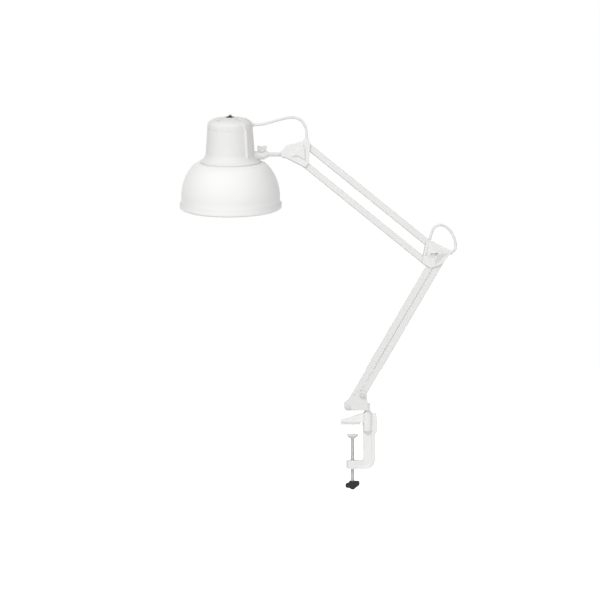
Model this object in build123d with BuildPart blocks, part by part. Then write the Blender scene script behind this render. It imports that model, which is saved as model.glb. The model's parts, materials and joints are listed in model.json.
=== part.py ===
# Clamp lamp: a screw clamp, two parallelogram arms, and a bell shade that rolls on a rod.
# Millimetres, +Z up, +X towards the elbow side, -Y towards the viewer.
# The origin is under the upper jaw, on the axis of the clamp screw.
import os
from math import atan2, cos, degrees, radians, sin, sqrt, tan

from build123d import *

os.makedirs("parts", exist_ok=True)

# Arm linkage: pivots are (x, z) points in the arm plane y = 0
lower_pivot = (-7.5, 25.95)
link_offset = (22.35, 18.0)
lower_arm_length = 247.6
lower_arm_angle = 59.7
elbow_rear_offset = (-8.65, 4.6)
upper_link_offset = (6.0, 26.1)
upper_arm_length = 235.4
upper_arm_angle = 141.05

# Square tube bars, their bushes, washers and pins
bar_width = 9.4
bar_wall = 1.0
bar_edge_radius = 1.2
pin_diameter = 4.0
pin_clearance = 0.08
bush_clearance = 0.1
washer_thickness = 0.6
washer_diameter = 8.0
washer_clearance = 0.1
cheek_thickness = 1.7
cover_skin = 0.3

# Base bracket and its bolts
base_low_radius = 5.2
base_high_radius = 6.8
base_lobe_offset = (-3.3, 6.2)
base_lobe_radius = 1.8
base_foot_offset = (-1.6, 2.6)
base_foot_radius = 2.5
nut_width = 7.0
nut_height = 3.2
bolt_head_height = 2.8
bolt_end = 1.0
bolt_chamfer = 0.4

# Swivel post and clamp casting
post_x = 22.6
post_diameter = 7.0
post_clearance = 0.07
post_bottom = -7.0
thrust_gap = 0.1
collar_top = 20.7
collar_diameter = 13.0
collar_lip = 0.4
post_block_width = 8.8
post_block_top = 32.0
socket_diameter = 14.6
socket_depth = 23.0
socket_taper = 38.0
socket_tail = 7.0
socket_top = 17.5
socket_bottom = -9.0
socket_bore_bottom = -8.0
web_thickness = 10.0
flange_width = 15.0
jaw_tip_x = -17.6
jaw_tip_rise = 4.8
jaw_tip_slope = 1.2
jaw_width = 20.0
jaw_plate = 1.8
jaw_pad_thickness = 2.6
jaw_pad_length = 29.5
jaw_pad_width = 22.0
jaw_pad_setback = 4.6
jaw_pad_radius = 2.0
jaw_pad_chamfer = 0.5
crest_start_x = 12.8
crest_z = 16.4
crest_overhang = 1.8
crest_flange = 7.0
back_boss_depth = 3.2
back_boss_high_z = -4.0
back_boss_low_z = -8.6
back_boss_end_z = -16.4
column_inner_x = 16.2
column_outer_x = 34.2
column_draft = 0.8
inner_draft = 1.2
flange_depth = 6.3
lower_arm_top = -53.6
lower_arm_bottom = -66.3
lower_flange = 3.2
corner_radius = 14.0
inner_radius = 3.5
boss_diameter = 19.0

# Clamp screw, pressure pad and knob
screw_diameter = 6.0
screw_clearance = 0.08
screw_chamfer = 0.6
knob_grip = 9.6
pad_top = -14.9
pad_diameter = 18.0
pad_edge = 1.7
pad_height = 6.0
pad_neck_diameter = 8.6
pad_socket_depth = 3.6
knob_top = -84.6
knob_height = 13.4
knob_hub_radius = 5.4
knob_foot_radius = 4.4
knob_dome = 2.4
knob_wing_reach = 10.6
knob_wing_depth = 6.2
knob_wing_drop = 4.2
knob_wing_thickness = 5.4
knob_wing_corner = 2.2
knob_edge = 1.3

# Elbow covers, spacer and cable outlets
elbow_high_radius = 5.5
elbow_tip_radius = 5.4
elbow_low_radius = 5.2
elbow_side_radius = 4.8
elbow_belly_offset = (12.6, 3.1)
elbow_belly_radius = 4.4
elbow_tip_offset = (6.2, 0.6)
elbow_point_radius = 2.4
elbow_rivet_offset = (14.0, -4.4)
dimple_taper = 20.0
dimple_depth = 1.6
pyramid_height = 5.0
pyramid_top_share = 0.06
groove_width = 1.3
groove_depth = 1.1
emboss_height = 2.2
emboss_taper = 40.0
lower_arm_swing = 60.0
bar_end_clearance = 0.4
outlet_radius = 2.5
outlet_length = 3.4
rivet_diameter = 3.0
rivet_head_diameter = 5.6
rivet_head_height = 1.6

# Yoke and the rod that carries the head
rod_drop = 13.65
rod_diameter = 6.0
rod_clearance = 0.06
rod_reach = 42.0
tang_reach = 36.7
tang_length = 20.0
tang_half_height = 5.2
tang_radius = 2.0
rod_grip = 4.0
yoke_corner = 1.2
yoke_rivet_offset = (-21.7, 1.2)
outlet_block_lift = 7.9
outlet_block_height = 2.5
outlet_block_shift = -0.6
outlet_block_length = 5.2
head_reach = 115.1
head_lean = 14.0

# Head: radii and heights s along the head axis, with s = 0 at the rod
shade_wall = 0.7
crown_s = -11.5
crown_radius = 46.0
shoulder_slope = 9.0
shoulder_radius = 20.0
shoulder_sweep = 41.0
side_radius = 69.7
side_bottom_s = -71.2
rim_radius = 77.0
rim_top_s = -73.6
rim_bottom_s = -79.6
rim_curl = 1.8
rim_fold = 0.4
rim_step = 0.6
cap_wall = 2.0
inner_draft_top = 0.8
cap_top_s = 40.0
cap_top_radius = 34.0
cap_low_radius = 36.7
cap_low_s = 3.0
flare_radius = 45.4
flare_lip = 2.0
lid_top_s = 55.4
lid_shoulder_s = 44.9
lid_flat_radius = 12.4
lid_draft = 0.5
lid_spigot = 4.0
lid_spigot_wall = 1.6
fit_gap = 0.1
web_s = 30.0
web_height = 2.4
vent_count = 4
vent_azimuth = 45.0
vent_radius = 21.0
vent_length = 12.0
vent_width = 6.4
vent_corner = 1.4
vent_tilt = 12.0
vent_recess = 1.0
vent_slit_length = 8.0
vent_slit_width = 1.6
rib_azimuth = 45.0
rib_radius = 3.0
rib_end_radius = 2.3
rib_bottom_s = -1.5
rib_top_s = 52.0
rib_stand = 1.9

# Knuckle on the cap and its wing screw
lug_radius = 6.2
lug_drop = 1.2
lug_end_x = 52.5
collar_end_x = 57.0
collar_radius = 5.2
collar_tip_radius = 4.3
wing_x = 47.7
wing_seat_s = 4.6
wing_shank_diameter = 4.0
wing_hub_radius = 5.2
wing_hub_top_s = 8.6
wing_top_s = 12.9
wing_lift = 0.3
wing_corner = 1.1
wing_seat_room = 2.2
wing_span = 14.2
wing_thickness = 3.0
wing_notch_radius = 1.7
wing_tip_gap = 0.15

# Switch, lamp holder and bulb
bezel_radius = 11.5
bezel_height = 0.9
bezel_edge = 0.5
switch_radius = 9.9
switch_bottom_s = 41.0
rocker_length = 11.2
rocker_width = 13.0
rocker_gap = 0.7
rocker_pivot_s = 53.4
rocker_tilt = 8.0
rocker_peak = 4.6
rocker_sink = 1.2
rocker_belly = 4.6
rocker_pocket = 9.4
rocker_pin_radius = 1.2
rocker_pin_reach = 1.4
tab_width = 5.0
tab_thickness = 0.8
tab_length = 5.0
tab_offset = 4.6
lead_radius = 0.9
holder_radius = 19.0
holder_bottom_s = -18.0
holder_flange_radius = 24.0
holder_flange = 3.0
holder_bore_radius = 14.6
holder_floor_s = 16.0
ring_radius = 25.0
ring_height = 4.2
ring_edge = 0.8
shell_wall = 0.8
shell_bottom_s = -14.0
shell_top_s = 12.0
contact_radius = 3.2
contact_height = 2.4
bulb_base_radius = 13.1
bulb_base_bottom_s = -13.0
bulb_base_top_s = 10.0
bulb_radius = 25.0
bulb_centre_s = -44.5
bulb_tip_radius = 4.0
bulb_neck_angle = 38.0
glass_wall = 0.8
gland_s = 44.7
gland_radius = 3.3
gland_face = 1.4
gland_seat = 1.3
gland_neck = 5.0
holder_screw_offset = 14.0
holder_screw_depth = 7.0
holder_hole_depth = 8.0

# Cables: diameter and the points each one is led through
cable_diameter = 3.8
bend_share = 0.45

# Points that follow from the sizes above
half_bar = bar_width / 2
half_gap = half_bar + washer_thickness
cheek_face = half_gap + cheek_thickness
pin_hole_radius = pin_diameter / 2 + pin_clearance


def shifted(point, offset):
    return (point[0] + offset[0], point[1] + offset[1])


def polar(point, length, angle):
    return (point[0] + length * cos(radians(angle)), point[1] + length * sin(radians(angle)))


# A point of a cable's route, measured from a pivot of the arm plane
def beside(pivot, x, y, z):
    return (pivot[0] + x, y, pivot[1] + z)


base_front = lower_pivot
base_rear = shifted(base_front, link_offset)
elbow_front = polar(base_front, lower_arm_length, lower_arm_angle)
elbow_rear = polar(base_rear, lower_arm_length, lower_arm_angle)
elbow_low = shifted(elbow_front, elbow_rear_offset)
elbow_high = shifted(elbow_low, upper_link_offset)
yoke_low = polar(elbow_low, upper_arm_length, upper_arm_angle)
yoke_high = polar(elbow_high, upper_arm_length, upper_arm_angle)
rod_z = yoke_high[1] - rod_drop
head_x = yoke_high[0] - head_reach
base_foot = shifted((post_x, collar_top), base_foot_offset)

lean_cos = cos(radians(head_lean))
lean_sin = sin(radians(head_lean))
head_plane = Plane(origin=(head_x, 0, rod_z), x_dir=(1, 0, 0), z_dir=(0, -lean_sin, lean_cos))
head_side = Plane(origin=(head_x, 0, rod_z), x_dir=(1, 0, 0), z_dir=(0, -lean_cos, -lean_sin))
head_axis = Axis(head_plane.origin, head_plane.z_dir)
rod_plane = Plane(origin=(head_x, 0, rod_z), x_dir=(0, 1, 0), z_dir=(1, 0, 0))


# One square tube bar with round ends, a through hollow and a pin hole at each end
def make_bar(start, angle, length):
    middle = polar(start, length / 2, angle)
    plane = Plane(origin=(middle[0], 0, middle[1]), x_dir=(cos(radians(angle)), 0, sin(radians(angle))),
                  z_dir=(0, -1, 0))
    with BuildPart() as bar:
        with BuildSketch(plane):
            SlotCenterToCenter(length, bar_width)
        extrude(amount=half_bar, both=True)
        fillet(bar.faces().sort_by(Axis.Y)[0].edges(), bar_edge_radius)
        fillet(bar.faces().sort_by(Axis.Y)[-1].edges(), bar_edge_radius)
        with BuildSketch(plane):
            Rectangle(length + 2 * bar_width, bar_width - 2 * bar_wall)
        extrude(amount=half_bar - bar_wall, both=True, mode=Mode.SUBTRACT)
        with BuildSketch(plane):
            with GridLocations(length, 0, 2, 1):
                Circle(pin_hole_radius)
        extrude(amount=bar_width, both=True, mode=Mode.SUBTRACT)
    return bar


# The two plastic bushes inside the ends of a bar
def make_bushes(start, angle, length):
    with BuildPart() as bushes:
        with BuildSketch(Plane.XZ):
            with Locations(start, polar(start, length, angle)):
                Circle(half_bar - bar_wall - bush_clearance)
                Circle(pin_hole_radius, mode=Mode.SUBTRACT)
        extrude(amount=half_bar - bar_wall - bush_clearance, both=True)
    return bushes


# Thin washers on both sides of the bars at the given pivots
def make_washers(pivots):
    with BuildPart() as washers:
        for side in (Plane.XZ.offset(half_bar), Plane.XZ.offset(-half_gap)):
            with BuildSketch(side):
                with Locations(*pivots):
                    Circle(washer_diameter / 2)
                    Circle(pin_diameter / 2 + washer_clearance, mode=Mode.SUBTRACT)
            extrude(amount=washer_thickness)
    return washers


# Plain pins that end inside the blind holes of two covers
def make_pins(pivots):
    with BuildPart() as pins:
        with BuildSketch(Plane.XZ):
            with Locations(*pivots):
                Circle(pin_diameter / 2)
        extrude(amount=cheek_face - 2 * cover_skin, both=True)
        chamfer(pins.edges().filter_by(GeomType.CIRCLE), cover_skin)
    return pins


# A rear rivet that joins two covers through the piece between them
def make_rivet(place):
    with BuildPart() as rivet:
        with BuildSketch(Plane.XZ.offset(-cheek_face)):
            with Locations(place):
                Circle(rivet_diameter / 2)
        extrude(amount=2 * cheek_face - 2 * cover_skin)
        with BuildSketch(Plane.XZ.offset(-cheek_face)):
            with Locations(place):
                Circle(rivet_head_diameter / 2)
        extrude(amount=-rivet_head_height)
        fillet(rivet.faces().sort_by(Axis.Y)[-1].edges(), rivet_head_height / 2)
    return rivet


# The mirror image of a front cover, without the rivet hole of the rear one
def make_rear(front):
    with BuildPart() as rear:
        add(mirror(front.part, about=Plane.XZ, mode=Mode.PRIVATE))
    return rear


# A cable swept along a polyline whose corners are as round as their runs allow
def make_cable(points, name):
    runs = [Vector(*end) - Vector(*start) for start, end in zip(points, points[1:])]
    radii = []
    for before, after in zip(runs, runs[1:]):
        half_turn = radians(before.get_angle(after)) / 2
        radii.append(bend_share * min(before.length, after.length) / tan(half_turn))
    print(name, "bend radii", [round(radius, 1) for radius in radii])
    with BuildPart() as cable:
        with BuildLine() as route:
            FilletPolyline(*points, radius=radii)
        with BuildSketch(Plane(origin=points[0], z_dir=runs[0])):
            Circle(cable_diameter / 2)
        sweep(path=route.wire())
    print(name, "length", round(route.wire().length, 1))
    return cable


# Clamp casting: a web in the arm plane, an outer flange, the socket and the screw boss
back_points = [
    (column_outer_x + crest_overhang, crest_z),
    (column_outer_x + back_boss_depth, back_boss_high_z),
    (column_outer_x + back_boss_depth, back_boss_low_z),
    (column_outer_x - column_draft, back_boss_end_z),
]
flange_inner_x = column_outer_x - flange_depth
crest_inner_x = column_outer_x + crest_overhang - crest_flange
flange_top_z = lower_arm_bottom + lower_flange
with BuildPart() as clamp_frame:
    with BuildSketch(Plane.XZ):
        with BuildLine():
            Polyline(
                (jaw_tip_x, jaw_pad_thickness),
                (jaw_tip_x + jaw_tip_slope, jaw_pad_thickness + jaw_tip_rise),
                (crest_start_x, crest_z),
                *back_points,
                (column_outer_x, lower_arm_bottom),
                (0, lower_arm_bottom),
                (0, lower_arm_top),
                (column_inner_x, lower_arm_top),
                (column_inner_x - inner_draft, jaw_pad_thickness),
                close=True,
            )
        make_face()
    extrude(amount=web_thickness / 2, both=True)
    web_edges = clamp_frame.edges().filter_by(Axis.Y)
    fillet(web_edges.sort_by_distance((column_outer_x, 0, lower_arm_bottom))[0], corner_radius)
    inner_edges = clamp_frame.edges().filter_by(Axis.Y)
    fillet(inner_edges.sort_by_distance((column_inner_x, 0, lower_arm_top))[0], inner_radius)
    with BuildSketch(Plane.XZ) as flange:
        with BuildLine():
            Polyline(
                (crest_inner_x, crest_z),
                *back_points,
                (column_outer_x, lower_arm_bottom),
                (0, lower_arm_bottom),
                (0, flange_top_z),
                (flange_inner_x, flange_top_z),
                (flange_inner_x, back_boss_end_z),
                (crest_inner_x, back_boss_low_z),
                close=True,
            )
        make_face()
        outer_corner = flange.vertices().sort_by_distance((column_outer_x, lower_arm_bottom))[0]
        fillet(outer_corner, corner_radius)
        inner_corner = flange.vertices().sort_by_distance((flange_inner_x, flange_top_z))[0]
        fillet(inner_corner, corner_radius - flange_depth)
    extrude(amount=flange_width / 2, both=True)
    with BuildSketch(Plane.XY.offset(jaw_pad_thickness)):
        with Locations(((jaw_tip_x + column_inner_x) / 2, 0)):
            Rectangle(column_inner_x - jaw_tip_x, jaw_width)
    extrude(amount=jaw_plate)
    with BuildSketch(Plane.XY.offset(lower_arm_bottom)):
        Circle(boss_diameter / 2)
        with Locations((column_inner_x, 0)):
            Circle(web_thickness / 2)
        make_hull()
    extrude(amount=lower_arm_top - lower_arm_bottom)
    with BuildSketch(Plane.XY.offset(socket_bottom)) as socket_shape:
        with Locations((post_x, 0)):
            SlotOverall(socket_depth, socket_diameter, rotation=90)
    extrude(amount=socket_top - socket_bottom)
    extrude(socket_shape.sketch, amount=-socket_tail, taper=socket_taper)
    with BuildSketch(Plane.XY.offset(socket_bore_bottom)):
        with Locations((post_x, 0)):
            Circle(post_diameter / 2 + post_clearance)
    extrude(amount=socket_top - socket_bore_bottom, mode=Mode.SUBTRACT)
    with BuildSketch(Plane.XY.offset(lower_arm_bottom)):
        Circle(screw_diameter / 2 + screw_clearance)
    extrude(amount=lower_arm_top - lower_arm_bottom, mode=Mode.SUBTRACT)

# Replaceable plastic pad under the upper jaw
with BuildPart() as jaw_pad:
    with BuildSketch(Plane.XY):
        with Locations((column_inner_x - jaw_pad_setback - jaw_pad_length / 2, 0)):
            RectangleRounded(jaw_pad_length, jaw_pad_width, jaw_pad_radius)
    extrude(amount=jaw_pad_thickness)
    chamfer(jaw_pad.faces().sort_by(Axis.Z)[-1].edges(), jaw_pad_chamfer)

# Pressure pad: a disc on a cone with a blind socket for the screw's end
pad_edge_z = pad_top - pad_edge
pad_bottom = pad_top - pad_height
with BuildPart() as pressure_pad:
    with BuildSketch(Plane.XZ):
        with BuildLine():
            Polyline(
                (0, pad_top),
                (pad_diameter / 2, pad_top),
                (pad_diameter / 2, pad_edge_z),
                (pad_neck_diameter / 2, pad_bottom),
                (0, pad_bottom),
                close=True,
            )
        make_face()
    revolve(axis=Axis.Z)
    with BuildSketch(Plane.XY.offset(pad_bottom)):
        Circle(screw_diameter / 2 + screw_clearance)
    extrude(amount=pad_socket_depth, mode=Mode.SUBTRACT)

# Clamp screw
screw_top = pad_bottom + pad_socket_depth - thrust_gap
screw_bottom = knob_top - knob_grip
with BuildPart() as clamp_screw:
    with BuildSketch(Plane.XY.offset(screw_bottom)):
        Circle(screw_diameter / 2)
    extrude(amount=screw_top - screw_bottom)
    chamfer(clamp_screw.edges().filter_by(GeomType.CIRCLE), screw_chamfer)

# Wing knob moulded on the screw: a domed hub with one wing set lower than the other
knob_bottom = knob_top - knob_height
with BuildPart() as clamp_knob:
    with BuildSketch(Plane.XZ) as wings:
        with BuildLine():
            Polyline(
                (0, knob_top),
                (knob_wing_reach, knob_top),
                (knob_wing_reach, knob_top - knob_wing_depth),
                (knob_foot_radius, knob_bottom + knob_dome),
                (-knob_foot_radius, knob_bottom + knob_dome),
                (-knob_wing_reach, knob_top - knob_wing_drop - knob_wing_depth),
                (-knob_wing_reach, knob_top - knob_wing_drop),
                close=True,
            )
        make_face()
        fillet(wings.vertices().group_by(Axis.X)[0] + wings.vertices().group_by(Axis.X)[-1], knob_wing_corner)
    extrude(amount=knob_wing_thickness / 2, both=True)
    fillet(clamp_knob.faces().sort_by(Axis.Y)[0].edges(), knob_edge)
    fillet(clamp_knob.faces().sort_by(Axis.Y)[-1].edges(), knob_edge)
    with BuildSketch(Plane.XZ):
        with BuildLine():
            hub = Polyline(
                (0, knob_top),
                (knob_hub_radius, knob_top),
                (knob_foot_radius, knob_bottom + knob_dome),
            )
            TangentArc((0, knob_bottom), hub @ 1, tangent=(1, 0))
            Line((0, knob_bottom), hub @ 0)
        make_face()
    revolve(axis=Axis.Z)
    with BuildSketch(Plane.XY.offset(screw_bottom)):
        Circle(screw_diameter / 2)
    extrude(amount=knob_top - screw_bottom, mode=Mode.SUBTRACT)

# Swivel post: a turned pin with a conical collar under the block between the cheeks
collar_bottom = socket_top + thrust_gap
with BuildPart() as swivel_post:
    with BuildSketch(Plane.XY.offset(post_bottom)):
        with Locations((post_x, 0)):
            Circle(post_diameter / 2)
    extrude(amount=collar_top - post_bottom)
    with BuildSketch(Plane.XY.offset(collar_bottom)):
        with Locations((post_x, 0)):
            Circle(collar_diameter / 2)
    with BuildSketch(Plane.XY.offset(collar_top)):
        with Locations((post_x, 0)):
            Circle(post_diameter / 2 + collar_lip)
    loft()
    with BuildSketch(Plane.XZ):
        with Locations((post_x, (collar_top + post_block_top) / 2)):
            Rectangle(post_block_width, post_block_top - collar_top)
    extrude(amount=half_gap, both=True)

# Flat cheeks of the base bracket
with BuildPart() as base_cheek_front:
    with BuildSketch(Plane.XZ.offset(half_gap)):
        with Locations(base_front):
            Circle(base_low_radius)
        with Locations(base_rear):
            Circle(base_high_radius)
        with Locations(base_foot):
            Circle(base_foot_radius)
        with Locations(shifted(base_front, base_lobe_offset)):
            Circle(base_lobe_radius)
        make_hull()
        with Locations(base_front, base_rear):
            Circle(pin_hole_radius, mode=Mode.SUBTRACT)
    extrude(amount=cheek_thickness)
base_cheek_rear = make_rear(base_cheek_front)

# Pivot bolts of the base, heads at the back and nuts at the front
with BuildPart() as base_bolts:
    with BuildSketch(Plane.XZ.offset(-cheek_face)):
        with Locations(base_front, base_rear):
            Circle(pin_diameter / 2)
    extrude(amount=2 * cheek_face + nut_height + bolt_end)
    chamfer(base_bolts.faces().sort_by(Axis.Y)[0:2].edges(), bolt_chamfer)
    with BuildSketch(Plane.XZ.offset(-cheek_face)):
        with Locations(base_front, base_rear):
            RegularPolygon(nut_width / 2, 6, major_radius=False)
    extrude(amount=-bolt_head_height)
with BuildPart() as base_nuts:
    with BuildSketch(Plane.XZ.offset(cheek_face)):
        with Locations(base_front, base_rear):
            RegularPolygon(nut_width / 2, 6, major_radius=False)
            Circle(pin_diameter / 2, mode=Mode.SUBTRACT)
    extrude(amount=nut_height)
base_washers = make_washers([base_front, base_rear])

# The four bars and their bushes
lower_front_bar = make_bar(base_front, lower_arm_angle, lower_arm_length)
lower_rear_bar = make_bar(base_rear, lower_arm_angle, lower_arm_length)
upper_top_bar = make_bar(elbow_high, upper_arm_angle, upper_arm_length)
upper_bottom_bar = make_bar(elbow_low, upper_arm_angle, upper_arm_length)
lower_front_bushes = make_bushes(base_front, lower_arm_angle, lower_arm_length)
lower_rear_bushes = make_bushes(base_rear, lower_arm_angle, lower_arm_length)
upper_top_bushes = make_bushes(elbow_high, upper_arm_angle, upper_arm_length)
upper_bottom_bushes = make_bushes(elbow_low, upper_arm_angle, upper_arm_length)

# Elbow covers: a plate round the four pivots with a low pyramid, a three-cornered dimple and a groove
elbow_pivots = [elbow_high, elbow_low, elbow_front, elbow_rear]
elbow_belly = shifted(elbow_front, elbow_belly_offset)
elbow_tip = shifted(elbow_rear, elbow_tip_offset)
elbow_rivet = shifted(elbow_high, elbow_rivet_offset)
pyramid_foot = [
    shifted(elbow_high, (1.6, 0.4)),
    shifted(elbow_low, (14.0, -5.8)),
    shifted(elbow_rear, (4.0, -1.5)),
]
pyramid_peak = shifted(elbow_high, (11.6, -16.0))
pyramid_tip = [shifted(pyramid_peak, ((x - pyramid_peak[0]) * pyramid_top_share,
                                      (z - pyramid_peak[1]) * pyramid_top_share)) for x, z in pyramid_foot]
groove_points = [shifted(elbow_high, (-2.2, -5.4)), shifted(elbow_low, (0.9, 7.4))]
with BuildPart() as elbow_cover_front:
    with BuildSketch(Plane.XZ.offset(half_gap)):
        with Locations(elbow_high):
            Circle(elbow_high_radius)
        with Locations(elbow_rear):
            Circle(elbow_tip_radius)
        with Locations(elbow_front):
            Circle(elbow_low_radius)
        with Locations(elbow_low):
            Circle(elbow_side_radius)
        with Locations(elbow_belly):
            Circle(elbow_belly_radius)
        with Locations(elbow_tip):
            Circle(elbow_point_radius)
        make_hull()
    extrude(amount=cheek_thickness)
    with BuildSketch(Plane.XZ.offset(cheek_face)):
        Polygon(*pyramid_foot, align=None)
    with BuildSketch(Plane.XZ.offset(cheek_face + pyramid_height)):
        Polygon(*pyramid_tip, align=None)
    loft()
    with BuildSketch(Plane.XZ.offset(cheek_face + pyramid_height)):
        Polygon(shifted(elbow_low, (7.6, 10.9)), shifted(pyramid_peak, (1.6, 0.6)),
                shifted(elbow_front, (4.6, 7.6)), align=None)
    extrude(amount=-pyramid_height - dimple_depth / 2, taper=dimple_taper, mode=Mode.SUBTRACT)
    with BuildSketch(Plane.XZ.offset(cheek_face)):
        with BuildLine():
            Line(*groove_points)
        trace(line_width=groove_width)
    extrude(amount=-groove_depth, mode=Mode.SUBTRACT)
    with BuildSketch(Plane.XZ.offset(half_gap)):
        with Locations(*elbow_pivots):
            Circle(pin_diameter / 2)
        with Locations(elbow_rivet):
            Circle(rivet_diameter / 2)
    extrude(amount=cheek_thickness - cover_skin, mode=Mode.SUBTRACT)
elbow_mirror = make_rear(elbow_cover_front)
with BuildPart() as elbow_cover_rear:
    add(elbow_mirror.part)
    with BuildSketch(Plane.XZ.offset(-half_gap)):
        with Locations(elbow_rivet):
            Circle(rivet_diameter / 2)
    extrude(amount=-cheek_thickness, mode=Mode.SUBTRACT)
    with BuildSketch(Plane.XZ.offset(-cheek_face)):
        with Locations(elbow_rivet):
            Circle(rivet_head_diameter / 2 + fit_gap)
    extrude(amount=-cheek_face, mode=Mode.SUBTRACT)
elbow_pins = make_pins(elbow_pivots)
elbow_washers = make_washers(elbow_pivots)

# Spacer between the elbow covers, with the two outlets of the elbow cable
bar_end_radius = half_bar + bar_end_clearance
swing_angle = lower_arm_angle + 180 + lower_arm_swing
outlet_high = shifted(elbow_high, (6.9, 1.9))
outlet_tip = shifted(elbow_rear, (8.8, 0.45))
outlet_high_way = Vector(-0.261, 0, 0.966)
outlet_tip_way = Vector(0.742, 0, 0.67)
with BuildPart() as elbow_spacer:
    with BuildSketch(Plane.XZ):
        with BuildLine():
            Polyline(
                shifted(elbow_high, (5.2, 1.2)),
                shifted(elbow_rear, (2.2, 5.2)),
                shifted(elbow_rear, (7.4, 2.6)),
                shifted(elbow_rear, (7.4, -1.4)),
                shifted(elbow_rear, (4.0, -1.4)),
                shifted(elbow_rear, (-4.4, 2.2)),
                shifted(elbow_high, (4.6, -2.6)),
                close=True,
            )
        make_face()
        with Locations(elbow_high, elbow_rear):
            Circle(bar_end_radius, mode=Mode.SUBTRACT)
    extrude(amount=half_gap, both=True)
    with BuildSketch(Plane(origin=(outlet_high[0], 0, outlet_high[1]), z_dir=outlet_high_way)):
        Circle(outlet_radius)
    extrude(amount=-outlet_length)
    with BuildSketch(Plane(origin=(outlet_tip[0], 0, outlet_tip[1]), z_dir=outlet_tip_way)):
        Circle(outlet_radius)
    extrude(amount=-outlet_length)
    with BuildSketch(Plane.XZ):
        with Locations(elbow_high):
            Circle(bar_end_radius)
        with Locations(polar(elbow_rear, bar_width / 2, swing_angle)):
            SlotCenterToCenter(bar_width, 2 * bar_end_radius, rotation=swing_angle)
    extrude(amount=bar_width, both=True, mode=Mode.SUBTRACT)
    with BuildSketch(Plane.XZ):
        with Locations(elbow_rivet):
            Circle(rivet_diameter / 2)
    extrude(amount=bar_width, both=True, mode=Mode.SUBTRACT)
elbow_screw = make_rivet(elbow_rivet)

# Yoke plates with a raised three-cornered panel
yoke_pivots = [yoke_high, yoke_low]
yoke_rivet = shifted((yoke_high[0], rod_z), yoke_rivet_offset)
with BuildPart() as yoke_front:
    with BuildSketch(Plane.XZ.offset(half_gap)):
        with BuildLine():
            FilletPolyline(
                shifted(yoke_high, (-38.9, -10.1)),
                shifted(yoke_high, (-31.5, -1.4)),
                shifted(yoke_high, (-25.2, 1.2)),
                shifted(yoke_high, (-6.3, 5.6)),
                shifted(yoke_high, (-3.1, 10.2)),
                shifted(yoke_high, (3.3, 9.0)),
                shifted(yoke_high, (5.1, -0.4)),
                shifted(yoke_low, (8.5, -1.3)),
                shifted(yoke_low, (3.7, -7.7)),
                shifted(yoke_low, (-4.5, -3.5)),
                shifted(yoke_high, (-31.5, -18.9)),
                shifted(yoke_high, (-38.9, -17.2)),
                radius=yoke_corner,
                close=True,
            )
        make_face()
    extrude(amount=cheek_thickness)
    with BuildSketch(Plane.XZ.offset(cheek_face)):
        Polygon(shifted(yoke_high, (-5.3, 3.2)), shifted(yoke_high, (-26.0, -18.4)),
                shifted(yoke_high, (-13.0, -17.8)), shifted(yoke_low, (4.6, 0.6)),
                shifted(yoke_high, (-2.4, -5.0)), align=None)
    extrude(amount=emboss_height, taper=emboss_taper)
    with BuildSketch(Plane.XZ.offset(half_gap)):
        with Locations(*yoke_pivots):
            Circle(pin_diameter / 2)
        with Locations(yoke_rivet):
            Circle(rivet_diameter / 2)
    extrude(amount=cheek_thickness - cover_skin, mode=Mode.SUBTRACT)
yoke_mirror = make_rear(yoke_front)
with BuildPart() as yoke_rear:
    add(yoke_mirror.part)
    with BuildSketch(Plane.XZ.offset(-half_gap)):
        with Locations(yoke_rivet):
            Circle(rivet_diameter / 2)
    extrude(amount=-cheek_thickness, mode=Mode.SUBTRACT)
    with BuildSketch(Plane.XZ.offset(-cheek_face)):
        with Locations(yoke_rivet):
            Circle(rivet_head_diameter / 2 + fit_gap)
    extrude(amount=-cheek_face, mode=Mode.SUBTRACT)
yoke_pins = make_pins(yoke_pivots)
yoke_washers = make_washers(yoke_pivots)
yoke_screw = make_rivet(yoke_rivet)

# Rod of the head with its flat tang between the yoke plates
tang_left = yoke_high[0] - tang_reach
with BuildPart() as swivel_rod:
    with BuildSketch(rod_plane.offset(rod_reach)):
        Circle(rod_diameter / 2)
    extrude(amount=tang_left + rod_grip - head_x - rod_reach)
    with BuildSketch(Plane.XZ):
        with Locations((tang_left + tang_length / 2, rod_z)):
            RectangleRounded(tang_length, 2 * tang_half_height, tang_radius)
    extrude(amount=half_gap, both=True)
    with BuildSketch(Plane.XZ):
        with Locations(yoke_rivet):
            Circle(rivet_diameter / 2)
    extrude(amount=bar_width, both=True, mode=Mode.SUBTRACT)

# Outlet block between the yoke plates where the head cable leaves the arm
outlet_block_low = yoke_high[1] + outlet_block_lift
outlet_block_high = outlet_block_low + outlet_block_height
outlet_block_x = yoke_high[0] + outlet_block_shift
with BuildPart() as yoke_outlet:
    with BuildSketch(Plane.XY.offset(outlet_block_low)):
        with Locations((outlet_block_x, 0)):
            Rectangle(outlet_block_length, 2 * half_gap)
    extrude(amount=outlet_block_height)


# Shade wall drawn twice, once for each face, and closed into a thin section
def shade_line(inset):
    slope = radians(shoulder_slope)
    start = (crown_radius - inset * sin(slope), crown_s - inset * cos(slope))
    shoulder = JernArc(start, (cos(slope), -sin(slope)), shoulder_radius - inset, -shoulder_sweep)
    side_sweep = 90 - shoulder_slope - shoulder_sweep
    side = JernArc(shoulder @ 1, shoulder % 1, side_radius - inset, -side_sweep)
    return start, side @ 1


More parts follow.
